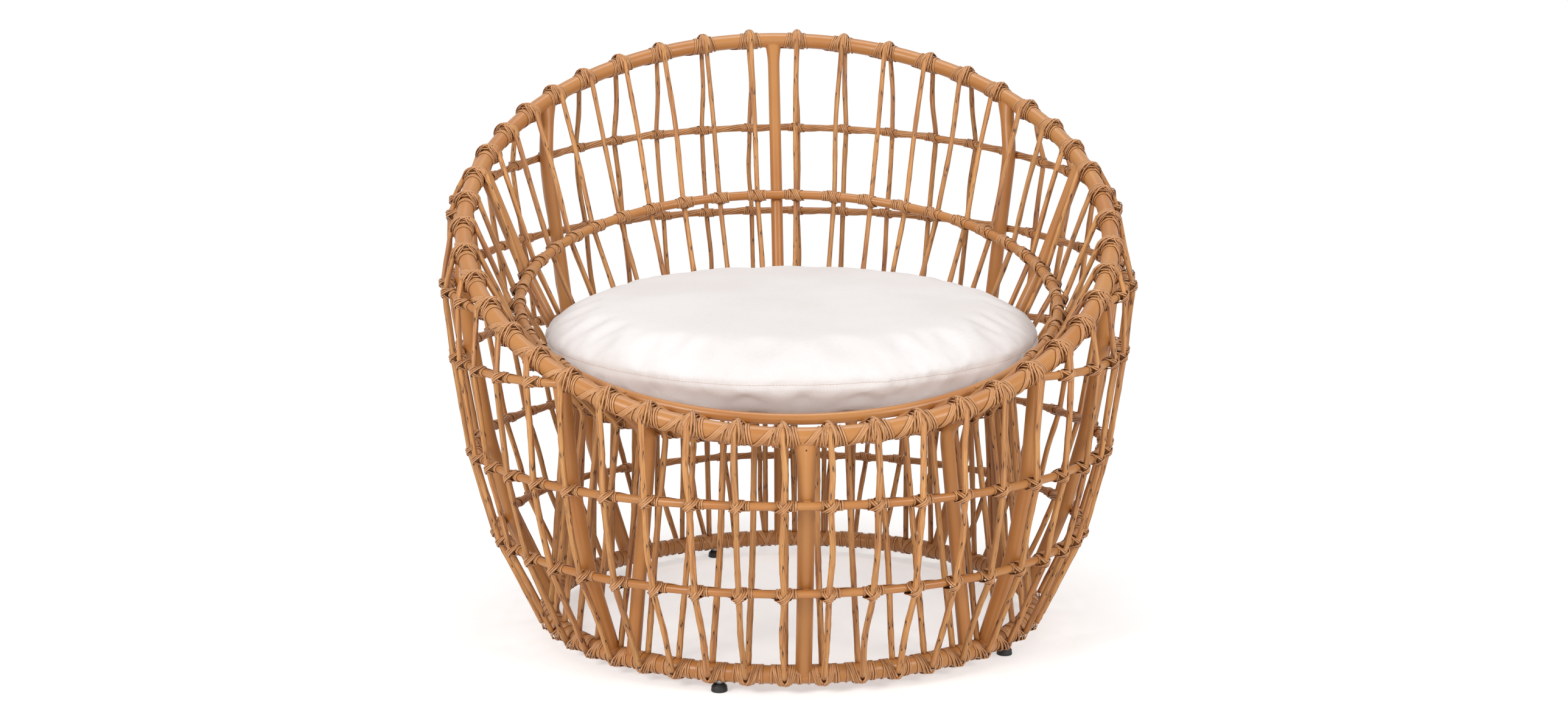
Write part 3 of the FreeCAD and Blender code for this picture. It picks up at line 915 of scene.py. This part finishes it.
def rim_cane(azimuth, along_mm, angle, layer=0.0):
    hold = rim.tube + (0.5 + layer) * CANE + over_poles(along_mm, angle)
    return wound(rim, azimuth, along_mm, angle, hold)


def arch(azimuth, centre, half, crown, inside, layer):
    """A loop up one side of a pole, over its end and down the other side."""
    turn = np.linspace(0, np.pi, 15)
    angle = np.radians(-84 + (84 + crown) * np.sin(turn) ** 0.8)
    under = np.linspace(np.pi, 2 * np.pi, 7)[1:]
    angle = np.concatenate([angle, np.radians(-84) + 0.3 * np.sin(under)])
    along_mm = centre - half * np.cos(np.concatenate([turn, under]))
    angle[-1] = angle[0]
    along_mm[-1] = along_mm[0]
    if inside:
        angle = np.pi - angle
    return rim_cane(azimuth, along_mm, angle, layer)


def rim_lashing(azimuth, rng):
    shift = rng.uniform(-0.6, 0.6)
    full = np.linspace(0, 2 * np.pi, 25) - np.pi / 2
    for inside in (False, True):
        for k in range(3):
            crown = 56 + 11 * k + rng.uniform(-3, 3)
            yield arch(azimuth, shift + 0.6, 5 + 2.6 * k, crown, inside, 0.3 * k)
    for way in (-1, 1):
        for aside in (-1.3, 1.3):
            along_mm = way * (6.5 + shift) * np.cos(full) + aside
            yield rim_cane(azimuth, along_mm, full, 1.0 if way > 0 else 0.2)
    for place in (-4.8, 4.8):
        yield rim_cane(azimuth, np.full(len(full), place + shift), full, 0)
    for k in range(2):
        place = 12.4 + 2.7 * k + shift
        yield rim_cane(azimuth, place - 2.8 * np.sin(full), full, 0)
    yield rim_cane(azimuth, -12.2 + shift + 2.4 * np.sin(full), full, 0)
    far = gap_to_next(rim, azimuth)
    for k in range(3):
        share = np.linspace(0, 1, 13)
        angle = np.radians(-100 + 172 * share)
        along_mm = (12.5 + 2.6 * k) * (1 - share) + (far - 8.5 + 2.6 * k) * share
        yield wound(rim, azimuth, along_mm, angle, rim.tube + 0.8 * CANE)


for side, chosen in (("right", AZIMUTHS[:STRANDS // 2]), ("left", AZIMUTHS[STRANDS // 2:])):
    canes = [cane for azimuth in chosen for cane in rim_lashing(azimuth, rng)]
    lashings("rim_lashings_" + side, canes)


# Cushion: two round panels of plain woven polyester canvas sewn together round the
# edge over a foam core. It lies loose on the seat bars and leans back with them.

CUSHION_RADIUS = 294 * MM
CUSHION_THICKNESS = 88 * MM
CUSHION_FORWARD = 12 * MM
CUSHION_ASIDE = 2.5 * MM
SQUASHED_WIDER = 1.012
SEAM_HEIGHT = 46 * MM
PANEL_RISE = 38 * MM
SOLE_RADIUS = 256 * MM


def spun(name, section, steps, weld):
    """A mesh turned on the upright axis from half a section of (radius, height) in mm."""
    bm = bmesh.new()
    verts = [bm.verts.new((r * MM, 0, z * MM)) for r, z in section]
    edges = [bm.edges.new(pair) for pair in zip(verts, verts[1:])]
    bmesh.ops.spin(bm, geom=verts + edges, cent=(0, 0, 0), axis=(0, 0, 1), angle=2 * math.pi,
                   steps=steps, use_merge=True)
    bmesh.ops.remove_doubles(bm, verts=bm.verts, dist=weld)
    bmesh.ops.recalc_face_normals(bm, faces=bm.faces)
    return made(bm, name)


def cushion_blank():
    """The cushion a little under its height, before it is blown up."""
    section = [(0, 3), (200, 3), (254, 4), (272, 9), (284, 21), (290, 34), (291.5, 46),
               (288, 58), (279, 68), (262, 74.5), (220, 79), (120, 82.5), (0, 84)]
    mesh = spun("cushion", section, 128, 0.01 * MM)
    mesh.transform(Matrix.Diagonal((SQUASHED_WIDER, 1, 1, 1)))
    return mesh


def spots_of(mesh):
    spots = np.zeros(len(mesh.vertices) * 3)
    mesh.vertices.foreach_get("co", spots)
    return spots.reshape(-1, 3)


def blown_up(mesh, cap):
    """Cloth under pressure, held at its seam, whose points move no further than cap."""
    thing = placed(mesh.name, mesh)
    start = spots_of(mesh)
    from_axis = np.hypot(start[:, 0], start[:, 1])
    held = np.flatnonzero((np.abs(start[:, 2] - SEAM_HEIGHT) < 4 * MM) & (from_axis > SOLE_RADIUS))
    seam = thing.vertex_groups.new(name="seam")
    seam.add([int(i) for i in held], 1.0, "REPLACE")
    cloth = thing.modifiers.new("cloth", "CLOTH").settings
    cloth.use_pressure = True
    cloth.uniform_pressure_force = 4
    cloth.vertex_group_mass = "seam"
    cloth.shrink_min = -0.01
    cloth.bending_stiffness = 20
    cloth.effector_weights.gravity = 0
    scene = bpy.context.scene
    for step in range(1, 21):
        scene.frame_set(step)
    graph = bpy.context.evaluated_depsgraph_get()
    moved = spots_of(thing.evaluated_get(graph).data) - start
    scene.frame_set(1)
    far = np.linalg.norm(moved, axis=1, keepdims=True)
    mesh = bpy.data.meshes.new_from_object(thing)
    bpy.data.objects.remove(thing)
    share = np.minimum(1, cap / np.maximum(far, 1e-9))
    mesh.vertices.foreach_set("co", (start + moved * share).ravel())
    return mesh


def settled(mesh):
    """Puckers run up and down from the seam, and the sole lies flat on the bars."""
    spots = spots_of(mesh)
    azimuth = np.arctan2(spots[:, 0], -spots[:, 1])
    from_axis = np.hypot(spots[:, 0], spots[:, 1])
    off_seam = spots[:, 2] - SEAM_HEIGHT
    edge = np.clip((from_axis - 235 * MM) / (45 * MM), 0, 1)
    waves = ((23, 1.2, 0.4, 0.5), (41, 0.8, 2.0, -0.8), (67, 0.5, 1.1, 0.4),
             (9, 1.3, 5.0, 0.2), (101, 0.35, 3.2, 0.9))
    puckers = sum(size * np.sin(count * azimuth + start + off_seam / (9 * MM) * lean)
                  for count, size, start, lean in waves)
    puckers *= edge * np.exp(-np.abs(off_seam) / (22 * MM)) * (0.6 + 0.4 * np.sin(3 * azimuth + 1))
    drawn = 1.1 * np.exp(-(off_seam / (2.4 * MM)) ** 2) * edge
    shape = 1 + (puckers - drawn) * MM / np.maximum(from_axis, 50 * MM)
    spots[:, :2] *= shape[:, None]
    swell = 1.6 * np.sin(2 * azimuth + 0.6) * (from_axis / CUSHION_RADIUS) ** 2
    swell += 1.0 * np.sin(spots[:, 0] / (63 * MM) + 1.3) * np.sin(spots[:, 1] / (81 * MM))
    over = np.clip(spots[:, 2] / CUSHION_THICKNESS - 0.5, 0, 0.5) * 2
    spots[:, 2] += swell * over * MM
    spots[:, 2] = np.maximum(spots[:, 2], 0)
    mesh.vertices.foreach_set("co", spots.ravel())


def lay_weave(mesh):
    """UVs in metres, as each panel was cut: flat, and run on down its side to the seam."""
    spots = spots_of(mesh)[corner_points(mesh)]
    from_axis = np.hypot(spots[:, 0], spots[:, 1])
    down_side = np.maximum(PANEL_RISE - np.abs(spots[:, 2] - SEAM_HEIGHT), 0)
    reach = 1 + down_side / np.maximum(from_axis, 50 * MM)
    layer = mesh.uv_layers.new(name="UVMap")
    layer.data.foreach_set("uv", (spots[:, :2] * reach[:, None]).ravel())


def canvas():
    """Plain woven polyester canvas: matt and off-white with a pink cast. Its slubby
    threads run both ways, 0.7 mm apart, and show as short faint streaks."""
    material, shader = new_material("plain_woven_canvas", Roughness=0.9)
    shader.inputs["Sheen Weight"].default_value = 0.15
    shader.inputs["Sheen Roughness"].default_value = 0.5
    uv = run_uv(material)
    spacing = 1 / (0.7 * MM)
    streak = 1 / (8 * MM)
    threads = []
    slubs = []
    for direction, stretch in (("X", (spacing, streak, 1)), ("Y", (streak, spacing, 1))):
        wave = add(material, "TexWave", [(uv, "Vector")], bands_direction=direction,
                   Scale=2 * math.pi / 20 * spacing, Distortion=0.15, Detail=1.0)
        threads.append(wave.outputs["Fac"])
        slubs.append(noise(material, stretched(material, uv, *stretch)))
    slubby = maths(material, "ADD", *slubs)
    tone = ramp(material, maths(material, "MULTIPLY", slubby, 0.5), [(0.36, "EAE6E4"), (0.6, "F0ECEB")])
    broad = noise(material, add(material, "TexCoord").outputs["Object"], 7.0)
    drift = ramp(material, broad, [(0.3, "F8F6F5"), (0.7, "FFFFFF")])
    join(material, multiplied(material, tone, drift), shader, "Base Color")
    height = maths(material, "ADD", maths(material, "MAXIMUM", *threads), slubby)
    bumped(material, shader, height, 0.2, 0.2 * MM)
    return material


def seat_lean():
    """Where the cushion lies: from its own level frame to its place on the bars."""
    tilt = Matrix.Rotation(math.atan(seat.rise), 4, "X")
    over_bars = seat.tube + LASHING + 2 * BAR + CLEARANCE
    sole = Vector((CUSHION_ASIDE, -CUSHION_FORWARD, seat.height - seat.rise * CUSHION_FORWARD))
    return Matrix.Translation(sole + tilt @ Vector((0, 0, over_bars)) + Vector(HUB)) @ tilt


cover = passed_through(cushion_blank(), "REMESH", mode="VOXEL", voxel_size=6 * MM)
cover = passed_through(blown_up(cover, 6 * MM), "SMOOTH", factor=0.5, iterations=4)
cover = passed_through(cover, "SUBSURF", levels=1, render_levels=1)
settled(cover)
lay_weave(cover)
cover_tree = BVHTree.FromPolygons([v.co for v in cover.vertices], [p.vertices for p in cover.polygons])
cover.transform(seat_lean())
cover.shade_smooth()
canvas_cover = canvas()
cushion = piece("cushion_cover", cover, canvas_cover, "cushion_cover", "cushion", "cushion")


# Seam: one row of lock stitch in a beige thread, which draws both panels in.

THREAD = 0.4 * MM
STITCH = 3.6 * MM


def on_cover(azimuth, height):
    """The point on the cushion's side at an azimuth and height."""
    away = Vector((math.sin(azimuth), -math.cos(azimuth), 0))
    spot, normal, _, _ = cover_tree.ray_cast(Vector((0, 0, height)) + away * 0.4, -away)
    return np.array(spot), np.array(normal)


def seam_runs():
    count = int(2 * math.pi * CUSHION_RADIUS / STITCH)
    for k in range(count):
        turns = (k + np.array([0.06, 0.3, 0.7, 0.94])) * 2 * math.pi / count
        places = [on_cover(turn, SEAM_HEIGHT + 0.6 * MM * math.sin(5 * turn)) for turn in turns]
        spots = np.array([spot for spot, _ in places])
        normals = np.array([normal for _, normal in places])
        lift = np.array([-0.4, 0.35, 0.35, -0.4])[:, None] * THREAD
        yield spots + normals * lift, normals, np.full(4, THREAD / 2)


def sewing_thread():
    """Twisted polyester thread: matt beige, with painted shade between its strands."""
    material, shader = new_material("sewing_thread", Roughness=0.7)
    twist = add(material, "TexWave", [(run_uv(material), "Vector")],
                bands_direction="DIAGONAL", Scale=900.0)
    # Painted shade: the darker bands of the twist stand for the shade in the grooves between strands.
    tone = ramp(material, twist.outputs["Fac"], [(0.2, "BC9884"), (0.8, "D4B5A2")])
    join(material, tone, shader, "Base Color")
    return material


seam = swept_mesh("cushion_seam", list(seam_runs()), round_section(4))
seam.transform(seat_lean())
piece("cushion_seam", seam, sewing_thread(), "cushion_cover", "cushion")


# Levelling feet: a moulded pad turns with its steel stud, which screws into a
# threaded insert pressed into the base ring from below.

FEET = 5
FOOT_TURN = math.radians(18)


def moulded_black():
    """Moulded polyethylene: black and dull, with a fine grit."""
    material, shader = new_material("moulded_polyethylene", Roughness=0.55)
    grit = noise(material, add(material, "TexCoord").outputs["Object"], 1 / (1.2 * MM))
    join(material, ramp(material, grit, [(0.4, "100F0F"), (0.75, "1E1C1B")]), shader, "Base Color")
    bumped(material, shader, grit, 0.2, 0.1 * MM)
    return material


def zinc_plate():
    """Zinc plated steel: pale grey and cloudy, with a soft metal gloss."""
    material, shader = new_material("zinc_plated_steel", Metallic=1.0)
    clouds = noise(material, add(material, "TexCoord").outputs["Object"], 1 / (3 * MM), 3.0)
    join(material, ramp(material, clouds, [(0.35, "8E8F90"), (0.7, "B9BABB")]), shader, "Base Color")
    join(material, ranged(material, clouds, 0.3, 0.5), shader, "Roughness")
    return material


PAD_SECTION = [(0, 0.4), (7.2, 0.4), (7.6, 0), (8.6, 0), (9, 0.5), (9, 2.4), (8.7, 2.9),
               (8.7, 5), (8.2, 6.2), (6.2, 8.2), (5.6, 9), (4.2, 9), (4.05, 8.8),
               (4.05, 2.9), (0, 2.9)]
SCREW_RIDGES = [(3.9 if k % 2 else 3.3, 7.4 + 0.625 * k) for k in range(26)]
STUD_SECTION = [(0, 3), (3.5, 3), (3.9, 3.4), (3.9, 7.1)] + SCREW_RIDGES + [(3.2, 24), (0, 24)]
INSERT_SECTION = [(4.05, 11.4), (6, 11.4), (6, 12.9), (5.4, 13.2), (5.4, 15), (6, 15.6),
                  (5.4, 17.6), (6, 18.2), (5.4, 20.2), (6, 20.8), (5.4, 22.8), (6, 23.4),
                  (5.6, 25.4), (4.05, 25.4), (4.05, 11.4)]
pad_plastic = moulded_black()
zinc = zinc_plate()
for number in range(FEET):
    azimuth = number * 2 * math.pi / FEET - FOOT_TURN
    spot = Matrix.Translation(base.plain(azimuth) + HUB * (1, 1, 0))
    for part, section, material, slot, body in (
            ("pad", PAD_SECTION, pad_plastic, "foot_plastic", "foot_%d_pad"),
            ("stud", STUD_SECTION, zinc, "foot_steel", "foot_%d_stud"),
            ("insert", INSERT_SECTION, zinc, "foot_steel", "basket")):
        node = "foot_%d_%s" % (number + 1, part)
        mesh = spun(node, section, 32, 0.001 * MM)
        mesh.shade_smooth()
        mesh.transform(spot)
        rides_on = body % (number + 1) if "%d" in body else body
        piece(node + "_turned", mesh, material, slot, rides_on, node)


# Stage: a white floor that fades into a white world, and four softboxes. What the
# camera and the gloss see of both is white; the floor keeps the chair's shadow.

FLOOR_GLOW = 0.42
WORLD_LIGHT = 0.4
FADE_STARTS = 0.45
FADE_ENDS = 1.1
LAMP_WIDTH = 0.9
LAMP_AIM = Vector((0, 0, 0.35))


def seen_straight(owner):
    """Is Camera Ray, Is Glossy Ray or Is Transmission Ray."""
    path = add(owner, "LightPath")
    seen = path.outputs["Is Camera Ray"]
    for ray in ("Is Glossy Ray", "Is Transmission Ray"):
        seen = maths(owner, "MAXIMUM", seen, path.outputs[ray])
    return seen


def stage():
    bm = bmesh.new()
    bmesh.ops.create_grid(bm, x_segments=1, y_segments=1, size=40)
    mesh = made(bm, "floor")
    floor = placed("floor", mesh)
    material, shader = new_material("white_paper", Roughness=1.0)
    shader.inputs["Base Color"].default_value = colour("F4F4F4")
    shader.inputs["Emission Color"].default_value = (1, 1, 1, 1)
    seen = seen_straight(material)
    join(material, maths(material, "MULTIPLY", seen, FLOOR_GLOW), shader, "Emission Strength")
    place = add(material, "TexCoord").outputs["Object"]
    away = add(material, "VectorMath", [(place, 0)], operation="LENGTH").outputs["Value"]
    fade = ranged(material, away, 0, 1, FADE_STARTS, FADE_ENDS, interpolation_type="SMOOTHSTEP")
    share = maths(material, "MULTIPLY", fade, seen)
    white = add(material, "Emission", Strength=1.0)
    mixed = add(material, "MixShader", [(share, 0), (shader.outputs[0], 1), (white.outputs[0], 2)])
    join(material, mixed.outputs[0], material.node_tree.nodes["Material Output"], "Surface")
    mesh.materials.append(material)


stage()

for side, spot, power in (("left", (-1.8, -1.95, 1.55), 36), ("right", (1.9, -1.9, 1.45), 28),
                          ("overhead", (0, 0.3, 2.6), 15), ("front", (-0.1, -2.8, 0.6), 7)):
    softbox = bpy.data.lights.new(side + " softbox", "AREA")
    softbox.size = LAMP_WIDTH
    softbox.energy = power
    lamp = placed(side + " softbox", softbox)
    lamp.location = spot
    lamp.rotation_euler = (LAMP_AIM - Vector(spot)).to_track_quat("-Z", "Y").to_euler()

world = bpy.data.worlds.new("studio")
bpy.context.scene.world = world
world.use_nodes = True
sky = world.node_tree.nodes["Background"]
sky.inputs["Color"].default_value = (1, 1, 1, 1)
join(world, ranged(world, seen_straight(world), WORLD_LIGHT, 1.0), sky, "Strength")


# Camera: fitted to the photograph.

PHOTO_WIDTH = 2576
FOCAL_PIXELS = 3062.2
DISTANCE = 2233.6 * MM
EYE_HEIGHT = 652.8 * MM
YAW = -0.047
AIM = 0.0027
DOWN = 0.1574
ROLL = -0.0061


def camera():
    data = bpy.data.cameras.new("camera")
    data.sensor_width = 36
    data.lens = 36 * FOCAL_PIXELS / PHOTO_WIDTH
    data.clip_start = 0.1
    thing = placed("camera", data)
    eye = np.array([DISTANCE * math.sin(YAW), -DISTANCE * math.cos(YAW), EYE_HEIGHT]) + HUB
    forward = Vector((-math.sin(YAW + AIM) * math.cos(DOWN),
                      math.cos(YAW + AIM) * math.cos(DOWN), -math.sin(DOWN)))
    right = forward.cross(Vector((0, 0, 1))).normalized()
    above = right.cross(forward)
    level = right * math.cos(ROLL) + above * math.sin(ROLL)
    above = above * math.cos(ROLL) - right * math.sin(ROLL)
    turn = Matrix((level, above, -forward)).transposed().to_4x4()
    thing.matrix_world = Matrix.Translation(Vector(eye)) @ turn
    bpy.context.scene.camera = thing


camera()
bpy.context.scene.view_settings.view_transform = "Standard"
